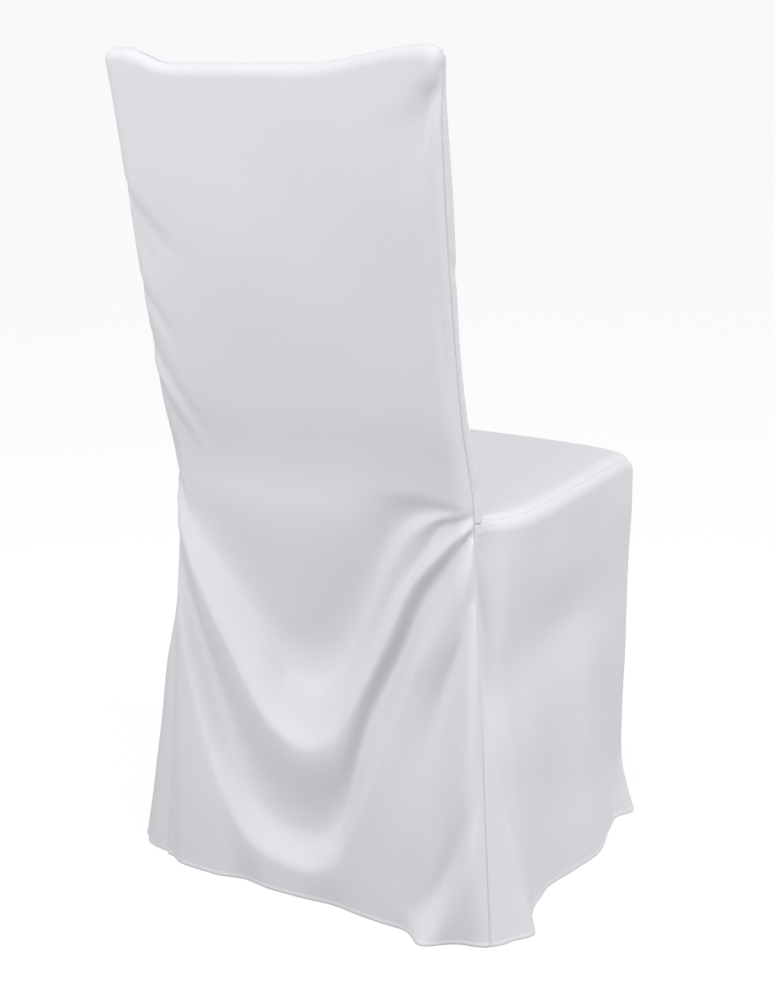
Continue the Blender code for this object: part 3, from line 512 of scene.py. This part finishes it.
def side_base(u, z):
    """Plan of a side skirt before its folds, for the sitter's left side: place and outward direction."""
    edge = curve(BACK_Z, BACK_EDGE, z)
    width = curve(BACK_Z, BACK_HALF_WIDTH, z)
    face = curve(BACK_Z, BACK_FACE_Y, z)
    seam = curve(SEAM_ANGLE_Z, SEAM_ANGLE, z) + SEAM_GAP / 2 / edge
    front_width = curve(SKIRT_Z, FRONT_HALF_WIDTH, z)
    front_y = -curve(SKIRT_Z, FRONT_Y, z)
    rear = np.clip(u / REAR_ARC_END, 0.0, 1.0)
    run = np.clip((u - REAR_ARC_END) / (FRONT_ARC_START - REAR_ARC_END), 0.0, 1.0)
    front = np.clip((u - FRONT_ARC_START) / (1 - FRONT_ARC_START), 0.0, 1.0)
    rear_angle = seam + (np.pi / 2 - seam) * rear
    front_angle = np.pi / 2 + (np.pi / 4 - SEAM_GAP / 2 / FRONT_EDGE) * front
    bulge = curve(SKIRT_Z, SIDE_BULGE, z) * curve(BULGE_AT, BULGE_SHARE, run)
    x = width - edge + edge * np.sin(rear_angle)
    x = np.where(u > REAR_ARC_END, width + (front_width - width) * run + bulge, x)
    x = np.where(u > FRONT_ARC_START, front_width - FRONT_EDGE + FRONT_EDGE * np.sin(front_angle), x)
    y = face - edge + edge * np.cos(rear_angle)
    y = np.where(u > REAR_ARC_END, face - edge + (front_y + FRONT_EDGE - face + edge) * run, y)
    y = np.where(u > FRONT_ARC_START, front_y + FRONT_EDGE + FRONT_EDGE * np.cos(front_angle), y)
    angle = np.where(u < FRONT_ARC_START, rear_angle, front_angle)
    return x, y, np.sin(angle), np.cos(angle)


def front_base(q, z):
    """Plan of the front skirt before its folds: place and outward direction."""
    front_width = curve(SKIRT_Z, FRONT_HALF_WIDTH, z)
    front_y = -curve(SKIRT_Z, FRONT_Y, z)
    bow = curve(SKIRT_Z, FRONT_BOW, z)
    flat = np.clip(q / FRONT_ARC, -1.0, 1.0)
    turn = np.clip((np.abs(q) - FRONT_ARC) / (1 - FRONT_ARC), 0.0, 1.0)
    angle = np.pi - (np.pi / 4 - SEAM_GAP / 2 / FRONT_EDGE) * turn
    inner = front_width - FRONT_EDGE
    x = flat * inner + np.sign(q) * FRONT_EDGE * np.sin(angle)
    y = front_y + FRONT_EDGE + FRONT_EDGE * np.cos(angle) - bow * (1 - flat ** 2)
    return x, y, np.sign(q) * np.sin(angle), np.cos(angle)


def droop(x, y):
    """How far the cloth sinks at a front corner of the seat."""
    away = np.hypot(np.abs(x) - FRONT_HALF_WIDTH[-1], y + FRONT_Y[-1])
    return CORNER_DROOP * np.clip(1 - away / DROOP_REACH, 0.0, 1.0) ** 3


def seat_edge_inset(u):
    """How far the seat seam lies inside the skirt's shoulder: nothing at the back seam."""
    return ROLL_INSET * ease((u - INSET_START) / INSET_LENGTH)


def shoulder_roll(x, y, normal_x, normal_y, inset, sink):
    """Points of the roll from a skirt's shoulder up and in to the seat seam, as rows of x, y and z.

    Each column follows one cubic curve. Where the inset is small it stands upright instead of turning over.
    """
    tilt = inset / ROLL_INSET
    reach = 4 / 3 * np.tan((np.pi / 2 - ROLL_START) / 4) * ROLL
    out = reach * np.cos(ROLL_START) * tilt
    down = reach * (1 - tilt + np.sin(ROLL_START) * tilt)
    top_z = JOIN_Z - SEAM_GAP / 2
    rows = []
    for t in np.linspace(1.0, 0.0, ROLL_ROWS + 1)[1:]:
        ends = (1 - t) ** 3, 3 * t * (1 - t) ** 2, 3 * t * t * (1 - t), t ** 3
        away = ends[0] * inset + ends[1] * (inset - out)
        high = ends[0] * top_z + ends[1] * (top_z - down)
        high = high + ends[2] * (SHOULDER_Z + reach) + ends[3] * SHOULDER_Z
        rows.append((x - normal_x * away, y - normal_y * away, high - sink))
    return np.stack(rows, axis=1)


def skirt(u, base, side, inset, folds, creases, length, look):
    """Points of a skirt panel, bottom row first: the fall to the floor, then the roll up to the seat seam."""
    fall = np.linspace(HEM_ROWS[-1], SHOULDER_Z, SKIRT_ROWS + 1)[1:]
    z = np.concatenate([HEM_ROWS, fall])[:, None] * np.ones_like(u)
    wide_u = u * np.ones_like(z)
    run = np.full_like(z, length)
    x, y, normal_x, normal_y = base(wide_u, z)
    from_seam = np.minimum(u - u[0], u[-1] - u) * run
    below = SHOULDER_Z - z
    rise = fold_rise(folds, wide_u, run, z) * ease(from_seam / SEAM_FADE)
    rise += fold_rise(creases, wide_u, run, z) * ease(from_seam / CREASE_FADE)
    wander = unevenness(wide_u * length, z, SKIRT_WANDER) * look.unevenness * ease(from_seam / SEAM_FADE)
    rise += wander * ease(below / WANDER_FADE)
    rise += puckers(z + side, from_seam, look.pucker) * ease(below / PUCKER_FADE)
    rise += hem_bead(z, look.hem_height)
    sink = droop(x[-1], y[-1]) * ease(z / SHOULDER_Z * 3 - 2)
    roll_x, roll_y, roll_z = shoulder_roll(x[-1], y[-1], normal_x[-1], normal_y[-1], inset, sink[-1])
    x = np.vstack([x + normal_x * rise, roll_x])
    y = np.vstack([y + normal_y * rise, roll_y])
    z = np.vstack([z - sink, roll_z])
    points = np.stack([shifted(side * x, y, z), y, z], axis=-1)
    outward = grid_normals(points)
    if (outward[..., 0] * side * normal_x[-1] + outward[..., 1] * normal_y[-1]).sum() < 0:
        outward = -outward
    from_seam = np.minimum(u - u[0], u[-1] - u) * length * np.ones_like(x)
    from_top = (len(x) - 1 - np.arange(len(x)))[:, None] * ROLL * (np.pi / 2 - ROLL_START) / ROLL_ROWS
    dip = seam_dip(from_seam, look.seam_depth) + seam_dip(from_top, look.seam_depth)
    dip += puckers(u * length, from_top, look.pucker) * (from_top < PUCKER_END)
    points = points + outward * dip[..., None]
    cut = np.stack([u * length * np.ones_like(z), z], axis=-1)
    return points, -outward, ("left", "right", "high"), cut


def side_skirt(side, folds, creases, look):
    """One side panel. side is 1 on the sitter's left and -1 on the right."""
    rear = np.linspace(0.0, REAR_ARC_END, ARC_LINES)
    middle = np.linspace(REAR_ARC_END, FRONT_ARC_START, SIDE_COLUMNS)[1:]
    front = np.linspace(FRONT_ARC_START, 1.0, ARC_LINES)[1:]
    u = np.concatenate([rear, middle, front])
    return skirt(u, side_base, side, seat_edge_inset(u), folds, creases, SIDE_RUN, look)


def front_skirt(look):
    """The front panel."""
    arc = np.linspace(FRONT_ARC, 1.0, ARC_LINES)[1:]
    q = np.concatenate([-arc[::-1], np.linspace(-FRONT_ARC, FRONT_ARC, FRONT_COLUMNS), arc])
    inset = np.full(len(q), ROLL_INSET)
    return skirt(q, front_base, 1, inset, FRONT_FOLDS, FRONT_CREASES, FRONT_RUN, look)


def seam_line(u, base, inset):
    """Plan of the seat seam, one gap inside a skirt's top edge."""
    x, y, normal_x, normal_y = base(u, np.full_like(u, SHOULDER_Z))
    return np.stack([x - normal_x * inset, y - normal_y * inset], axis=-1)


def seat_outline():
    """Plan of the seat panel's side, front and rear edges, for the sitter's left half."""
    u = np.linspace(1.0, HORN_CLEAR, SEAT_SIDE_LINES)
    side = seam_line(u, side_base, seat_edge_inset(u) + SIDEWAYS_GAP)
    q = np.linspace(0.0, 1.0, SEAT_FRONT_LINES)
    front = seam_line(q, front_base, ROLL_INSET + SEAM_GAP)
    corner = (side[0] + front[-1]) / 2
    side[0] = corner
    front[-1] = corner
    post = WAIST_EDGE + SEAM_GAP
    angle = np.pi - (np.pi - POST_ANGLE) * np.linspace(0.0, HORN_TURN, HORN_LINES)
    rear_x = WAIST_HALF_WIDTH - WAIST_EDGE + post * np.sin(angle)
    rear_y = POST_Y + post * np.cos(angle)
    arc = np.stack([rear_x, rear_y], axis=-1)
    share = np.linspace(0.0, 1.0, SEAT_FRONT_LINES - HORN_LINES + 1)[:-1, None]
    flat = share * (arc[0, 0], 0.0) + (0.0, arc[0, 1])
    return np.vstack([side, arc[-1]]), front, np.vstack([flat, arc])


def shares(line):
    """Share of a polyline's length at each of its points."""
    length = np.append(0.0, np.cumsum(np.hypot(*np.diff(line, axis=0).T)))
    return length / length[-1]


def distance_to(line, x, y):
    """Plan distance from points to a polyline."""
    start = line[:-1]
    step = np.diff(line, axis=0)
    nearest = np.full(x.shape, np.inf)
    for (start_x, start_y), (step_x, step_y) in zip(start, step):
        share = ((x - start_x) * step_x + (y - start_y) * step_y) / (step_x ** 2 + step_y ** 2)
        share = np.clip(share, 0.0, 1.0)
        nearest = np.minimum(nearest, np.hypot(x - start_x - share * step_x, y - start_y - share * step_y))
    return nearest


def seat(look):
    """Seat top: flat inside, turned down at its side and front seams, with a horn beside each post."""
    side, front, rear = seat_outline()
    v = shares(side)[:, None, None]
    u = shares(rear)[None, :, None]
    middle = (1 - v) * front[0] + v * rear[0]
    ends = (1 - v) * front + v * rear
    span = (1 - u) * middle + u * side[:, None, :]
    corners = (1 - u) * middle + u * ((1 - v) * side[0] + v * side[-1])
    plan = ends + span - corners
    plan = np.concatenate([plan[:, :0:-1] * (-1, 1), plan], axis=1)
    x, y = plan[..., 0], plan[..., 1]
    distance = distance_to(np.vstack([side[::-1], front[-2::-1]]), np.abs(x), y) + SEAM_GAP
    slope = np.clip(np.sin(ROLL_START) - distance / ROLL, 0.0, 1.0)
    run = (POST_Y - y) / (POST_Y + FRONT_Y[-1] - FRONT_EDGE)
    tilt = seat_edge_inset(REAR_ARC_END + (FRONT_ARC_START - REAR_ARC_END) * run) / seat_edge_inset(1.0)
    share = np.maximum(tilt ** EDGE_POWER, 1 - ease((distance - SEAM_GAP) / EDGE_TURN))
    z = SEAT_Z - ROLL * (1 - np.sqrt(1 - slope ** 2)) * share - droop(x, y)
    z += unevenness(x, y, SEAT_WANDER) * look.unevenness * ease(distance / SEAM_FADE)
    z += puckers(x + y, distance, look.pucker) + seam_dip(distance, look.seam_depth)
    points = np.stack([shifted(x, y, z), y, z], axis=-1)
    down = np.zeros_like(points)
    down[..., 2] = -1.0
    return points, down, ("left", "right", "low"), plan


def sewn_panel(node, made, outward, look, material):
    """Make one panel: a grid moved to its points, given the cloth's thickness, standing for its node."""
    points, inward, seams, cut = made
    points = turned_in(points, inward, seams)
    rows, across, _ = points.shape
    grid = bmesh.new()
    bmesh.ops.create_grid(grid, x_segments=across - 1, y_segments=rows - 1, size=1.0)
    mesh = bpy.data.meshes.new(node + "_cloth")
    grid.to_mesh(mesh)
    grid.free()
    places = points.reshape(-1, 3) - (*FOOT, 0.0)
    mesh.vertices.foreach_set("co", places.ravel())
    mesh.update()
    areas = np.zeros(len(mesh.polygons))
    normals = np.zeros(len(mesh.polygons) * 3)
    mesh.polygons.foreach_get("area", areas)
    mesh.polygons.foreach_get("normal", normals)
    if (normals.reshape(-1, 3) * areas[:, None]).sum(axis=0) @ outward < 0:
        mesh.flip_normals()
    pad = [(int("low" in seams), int("high" in seams)), (int("left" in seams), int("right" in seams)), (0, 0)]
    cut = np.pad(cut, pad, mode="edge").reshape(-1, 2)
    threads = mesh.attributes.new("threads", "FLOAT_VECTOR", "POINT")
    threads.data.foreach_set("vector", np.column_stack([cut, np.zeros(len(cut))]).ravel())
    mesh.shade_smooth()
    panel = bpy.data.objects.new(node + "_cloth", mesh)
    bpy.context.scene.collection.objects.link(panel)
    mesh.materials.append(material)
    body = panel.modifiers.new("Cloth thickness", "SOLIDIFY")
    body.thickness = look.thickness
    body.offset = -1.0
    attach(panel, "root")
    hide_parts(node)


class Field:
    """A node socket that can be used in plain arithmetic: each operator adds its Math node."""

    def __init__(self, finish, socket):
        self.finish = finish
        self.socket = socket

    def maths(self, operation, *values):
        node = self.finish.node("ShaderNodeMath", {"operation": operation}, dict(enumerate(values)))
        return Field(self.finish, node.outputs[0])

    def __add__(self, other):
        return self.maths("ADD", self, other)

    def __radd__(self, other):
        return self.maths("ADD", other, self)

    def __mul__(self, other):
        return self.maths("MULTIPLY", self, other)

    def __rmul__(self, other):
        return self.maths("MULTIPLY", other, self)

    def sine(self):
        return self.maths("SINE", self)


class Finish:
    """A material built on one Principled shader."""

    def __init__(self, name):
        self.material = bpy.data.materials.new(name)
        self.material.use_nodes = True
        self.tree = self.material.node_tree
        self.shader = self.tree.nodes["Principled BSDF"]

    def node(self, kind, settings=None, sockets=None):
        """Add a node: its settings first, then the values or links of its sockets."""
        node = self.tree.nodes.new(kind)
        for key, value in (settings or {}).items():
            setattr(node, key, value)
        for key, value in (sockets or {}).items():
            self.feed(node.inputs[key], value)
        return node

    def feed(self, socket, value):
        """Link a field to a socket, or set the socket's own value."""
        if isinstance(value, Field):
            self.tree.links.new(value.socket, socket)
        else:
            socket.default_value = value

    def field(self, node, output=0):
        return Field(self, node.outputs[output])

    def set(self, **sockets):
        """Set or link sockets of the shader, named with underscores for spaces."""
        for key, value in sockets.items():
            self.feed(self.shader.inputs[key.replace("_", " ")], value)


def polyester(name, look):
    """Matt white polyester: a fine plain weave, a faint uneven tint and a soft sheen."""
    finish = Finish(name)
    threads = finish.field(finish.node("ShaderNodeAttribute", {"attribute_name": "threads"}), "Vector")
    split = finish.node("ShaderNodeSeparateXYZ", {}, {0: threads})
    across, up = finish.field(split, "X"), finish.field(split, "Y")
    turn = 2 * np.pi / look.thread
    weft = (across * turn).sine()
    warp = (up * turn).sine()
    weave = weft * warp
    slub = finish.field(finish.node("ShaderNodeTexNoise", {}, {"Vector": threads, **SLUB}))
    cloud = finish.field(finish.node("ShaderNodeTexNoise", {}, {"Vector": threads, **CLOUD}))
    height = weave * WEAVE_SHARE + slub
    bump = finish.node("ShaderNodeBump", {}, {
        "Strength": WEAVE_BUMP, "Distance": look.weave_depth, "Height": height})
    tint = finish.node("ShaderNodeMix", {"data_type": "RGBA"}, {
        0: cloud, 6: (*look.colour, 1.0), 7: (*look.cool_colour, 1.0)})
    finish.set(Base_Color=finish.field(tint, 2), Roughness=cloud * CLOUD_ROUGHNESS + look.roughness,
               Normal=finish.field(bump), Metallic=0.0, Sheen_Weight=look.sheen,
               Sheen_Roughness=SHEEN_ROUGHNESS, Specular_IOR_Level=CLOTH_SPECULAR)
    return finish.material


def floor_finish(colour, glow):
    """Plain matt white of the floor: a little of its own light keeps the ground white out to the horizon."""
    finish = Finish("floor_finish")
    cloud = finish.field(finish.node("ShaderNodeTexNoise", {}, FLOOR_CLOUD))
    finish.set(Base_Color=(*colour, 1.0), Roughness=cloud * FLOOR_CLOUD_ROUGHNESS + FLOOR_ROUGHNESS,
               Metallic=0.0, Specular_IOR_Level=0.0, Emission_Color=WHITE, Emission_Strength=glow)
    return finish.material


def far_floor(size):
    """The floor: flat near the cover, rising slowly far away, and lighting nothing by itself."""
    mesh = bpy.data.meshes.new("floor")
    grid = bmesh.new()
    bmesh.ops.create_grid(grid, x_segments=FLOOR_LINES, y_segments=FLOOR_LINES, size=size / 2)
    for vertex in grid.verts:
        vertex.co.z = FLOOR_RISE * max(0.0, vertex.co.length - FLOOR_FLAT) ** 2
    grid.to_mesh(mesh)
    grid.free()
    mesh.shade_smooth()
    floor = bpy.data.objects.new("floor", mesh)
    floor.visible_diffuse = False
    bpy.context.scene.collection.objects.link(floor)
    return floor


def soft_light(name, place, size, power):
    """One square soft light, turned towards the middle of the cover."""
    data = bpy.data.lights.new(name, "AREA")
    data.shape = "SQUARE"
    data.size = size
    data.energy = power
    light = bpy.data.objects.new(name, data)
    light.location = place
    light.rotation_euler = (Vector(LIGHT_AIM) - Vector(place)).to_track_quat("-Z", "Y").to_euler()
    bpy.context.scene.collection.objects.link(light)


def pale_room(above, below):
    """Soft white light from all round, weaker from under the horizon."""
    world = bpy.data.worlds.new("pale_room")
    world.use_nodes = True
    nodes = world.node_tree.nodes
    links = world.node_tree.links
    direction = nodes.new("ShaderNodeTexCoord")
    split = nodes.new("ShaderNodeSeparateXYZ")
    height = nodes.new("ShaderNodeMapRange")
    height.inputs["From Min"].default_value = -ROOM_BLEND
    height.inputs["From Max"].default_value = ROOM_BLEND
    height.inputs["To Min"].default_value = below
    height.inputs["To Max"].default_value = above
    links.new(direction.outputs["Generated"], split.inputs[0])
    links.new(split.outputs["Z"], height.inputs["Value"])
    links.new(height.outputs["Result"], nodes["Background"].inputs["Color"])
    return world


class ChairCoverLook(bpy.types.PropertyGroup):
    """Sizes and colours of the cloth."""

    thickness: bpy.props.FloatProperty(
        name="Cloth thickness", description="Thickness of the polyester", default=0.0008,
        min=0.0003, max=0.0014, unit="LENGTH")
    hem_height: bpy.props.FloatProperty(
        name="Hem height", description="How far the rolled hem stands proud", default=0.0007,
        min=0.0, max=0.002, unit="LENGTH")
    seam_depth: bpy.props.FloatProperty(
        name="Seam depth", description="How far a panel's edge rolls down into its seam", default=0.0008,
        min=0.0, max=0.003, unit="LENGTH")
    pucker: bpy.props.FloatProperty(
        name="Pucker height", description="Height of the small gathers along the seams", default=0.0006,
        min=0.0, max=0.002, unit="LENGTH")
    unevenness: bpy.props.FloatProperty(
        name="Unevenness", description="Strength of the slow wander of the hung cloth", default=1.0,
        min=0.0, max=2.0)
    thread: bpy.props.FloatProperty(
        name="Thread pitch", description="Distance between neighbouring threads", default=0.0006,
        min=0.0002, max=0.003, unit="LENGTH")
    weave_depth: bpy.props.FloatProperty(
        name="Weave depth", description="Relief of the weave", default=0.00008,
        min=0.0, max=0.0005, unit="LENGTH")
    colour: bpy.props.FloatVectorProperty(
        name="Cloth colour", description="Main white of the cloth", subtype="COLOR", size=3,
        default=(0.80, 0.795, 0.83), min=0.0, max=1.0)
    cool_colour: bpy.props.FloatVectorProperty(
        name="Cooler colour", description="Slightly cooler white in faint clouds", subtype="COLOR", size=3,
        default=(0.775, 0.775, 0.82), min=0.0, max=1.0)
    roughness: bpy.props.FloatProperty(
        name="Roughness", description="Roughness of the cloth", default=0.72, min=0.0, max=1.0,
        subtype="FACTOR")
    sheen: bpy.props.FloatProperty(
        name="Sheen", description="Soft sheen of the fibres", default=0.15, min=0.0, max=1.0,
        subtype="FACTOR")


class ChairCoverStage(bpy.types.PropertyGroup):
    """Floor, light and camera."""

    floor_size: bpy.props.FloatProperty(
        name="Floor size", description="Side of the square floor", default=30.0, min=2.0, unit="LENGTH")
    floor_colour: bpy.props.FloatVectorProperty(
        name="Floor colour", description="Colour of the floor", subtype="COLOR", size=3,
        default=(0.36, 0.36, 0.36), min=0.0, max=1.0)
    floor_glow: bpy.props.FloatProperty(
        name="Floor glow", description="Light that the floor gives off by itself", default=0.70, min=0.0)
    back_power: bpy.props.FloatProperty(
        name="Back light", description="Power of the soft light behind the back", default=12.5,
        min=0.0, unit="POWER")
    right_power: bpy.props.FloatProperty(
        name="Right light", description="Power of the soft light on the sitter's right", default=34.0,
        min=0.0, unit="POWER")
    top_power: bpy.props.FloatProperty(
        name="Top light", description="Power of the soft light above", default=5.0, min=0.0, unit="POWER")
    room_light: bpy.props.FloatProperty(
        name="Room light", description="Strength of the soft light all round", default=0.72, min=0.0)
    room_light_below: bpy.props.FloatProperty(
        name="Room light below", description="Strength of the soft light from under the horizon",
        default=0.20, min=0.0)
    lens: bpy.props.FloatProperty(
        name="Focal length", description="Focal length of the camera", default=59.6, min=1.0, unit="CAMERA")
    camera_place: bpy.props.FloatVectorProperty(
        name="Camera place", description="Where the camera stands", subtype="TRANSLATION", unit="LENGTH",
        size=3, default=(-0.9333, 1.6419, 0.933))
    camera_aim: bpy.props.FloatVectorProperty(
        name="Camera aim", description="The point the camera looks at", subtype="TRANSLATION", unit="LENGTH",
        size=3, default=(0.0597, -0.0191, 0.42))
    shift: bpy.props.FloatVectorProperty(
        name="Lens shift", description="Sideways and upward shift of the picture", size=2,
        default=(0.0336, -0.0019))


class CHAIRCOVER_OT_outside_back(bpy.types.Operator):
    """Make the outside back with its swags"""

    bl_idname = "chair_cover.outside_back"
    bl_label = "Outside back"
    bl_options = {"REGISTER", "UNDO"}

    def execute(self, context):
        look = context.scene.chair_cover_look
        sewn_panel("back_panel", outside_back(look), (0, 1, 0), look, polyester("outside_back_cloth", look))
        return {"FINISHED"}


class CHAIRCOVER_OT_inside_back(bpy.types.Operator):
    """Make the inside back, wrapped round both posts"""

    bl_idname = "chair_cover.inside_back"
    bl_label = "Inside back"
    bl_options = {"REGISTER", "UNDO"}

    def execute(self, context):
        look = context.scene.chair_cover_look
        cloth = polyester("inside_back_cloth", look)
        sewn_panel("inside_back_panel", inside_back(look), (0, -1, 0), look, cloth)
        return {"FINISHED"}


class CHAIRCOVER_OT_seat(bpy.types.Operator):
    """Make the seat top"""

    bl_idname = "chair_cover.seat"
    bl_label = "Seat"
    bl_options = {"REGISTER", "UNDO"}

    def execute(self, context):
        look = context.scene.chair_cover_look
        sewn_panel("seat_panel", seat(look), (0, 0, 1), look, polyester("seat_cloth", look))
        return {"FINISHED"}


class CHAIRCOVER_OT_skirts(bpy.types.Operator):
    """Make the two side panels and the front panel of the skirt"""

    bl_idname = "chair_cover.skirts"
    bl_label = "Skirts"
    bl_options = {"REGISTER", "UNDO"}

    def execute(self, context):
        look = context.scene.chair_cover_look
        cloth = polyester("skirt_cloth", look)
        sewn_panel("right_skirt", side_skirt(-1, RIGHT_FOLDS, RIGHT_CREASES, look), (-1, 0, 0), look, cloth)
        sewn_panel("left_skirt", side_skirt(1, LEFT_FOLDS, LEFT_CREASES, look), (1, 0, 0), look, cloth)
        sewn_panel("front_skirt", front_skirt(look), (0, -1, 0), look, cloth)
        return {"FINISHED"}


class CHAIRCOVER_OT_stage(bpy.types.Operator):
    """Make the floor, the lights and the camera"""

    bl_idname = "chair_cover.stage"
    bl_label = "Stage"
    bl_options = {"REGISTER", "UNDO"}

    def execute(self, context):
        stage = context.scene.chair_cover_stage
        floor = far_floor(stage.floor_size)
        floor.data.materials.append(floor_finish(stage.floor_colour, stage.floor_glow))
        for name, place, size, power in LIGHTS:
            soft_light(name, place, size, getattr(stage, power))
        context.scene.world = pale_room(stage.room_light, stage.room_light_below)
        context.scene.view_settings.view_transform = "Standard"
        data = bpy.data.cameras.new("camera")
        data.lens = stage.lens
        data.sensor_width = SENSOR
        data.shift_x, data.shift_y = stage.shift
        camera = bpy.data.objects.new("camera", data)
        place, aim = Vector(stage.camera_place), Vector(stage.camera_aim)
        camera.location = place
        camera.rotation_euler = (aim - place).to_track_quat("-Z", "Y").to_euler()
        context.scene.collection.objects.link(camera)
        context.scene.camera = camera
        return {"FINISHED"}


OPERATORS = (CHAIRCOVER_OT_outside_back, CHAIRCOVER_OT_inside_back, CHAIRCOVER_OT_seat,
             CHAIRCOVER_OT_skirts, CHAIRCOVER_OT_stage)


class CHAIRCOVER_PT_sidebar(bpy.types.Panel):
    """Lists the sizes, the colours and the pieces"""

    bl_idname = "CHAIRCOVER_PT_sidebar"
    bl_label = "Fitted chair cover"
    bl_space_type = "VIEW_3D"
    bl_region_type = "UI"
    bl_category = "Chair cover"

    def draw(self, context):
        for group in (context.scene.chair_cover_look, context.scene.chair_cover_stage):
            box = self.layout.box()
            for key in group.__annotations__:
                box.prop(group, key)
        for operator in OPERATORS:
            self.layout.operator(operator.bl_idname)


CLASSES = (ChairCoverLook, ChairCoverStage, *OPERATORS, CHAIRCOVER_PT_sidebar)


def register():
    for each in CLASSES:
        bpy.utils.register_class(each)
    bpy.types.Scene.chair_cover_look = bpy.props.PointerProperty(type=ChairCoverLook)
    bpy.types.Scene.chair_cover_stage = bpy.props.PointerProperty(type=ChairCoverStage)


def unregister():
    del bpy.types.Scene.chair_cover_stage
    del bpy.types.Scene.chair_cover_look
    for each in reversed(CLASSES):
        bpy.utils.unregister_class(each)


def main():
    """Make every piece and the stage."""
    register()
    bpy.ops.chair_cover.outside_back()
    bpy.ops.chair_cover.inside_back()
    bpy.ops.chair_cover.seat()
    bpy.ops.chair_cover.skirts()
    bpy.ops.chair_cover.stage()


if __name__ == "__main__":
    main()
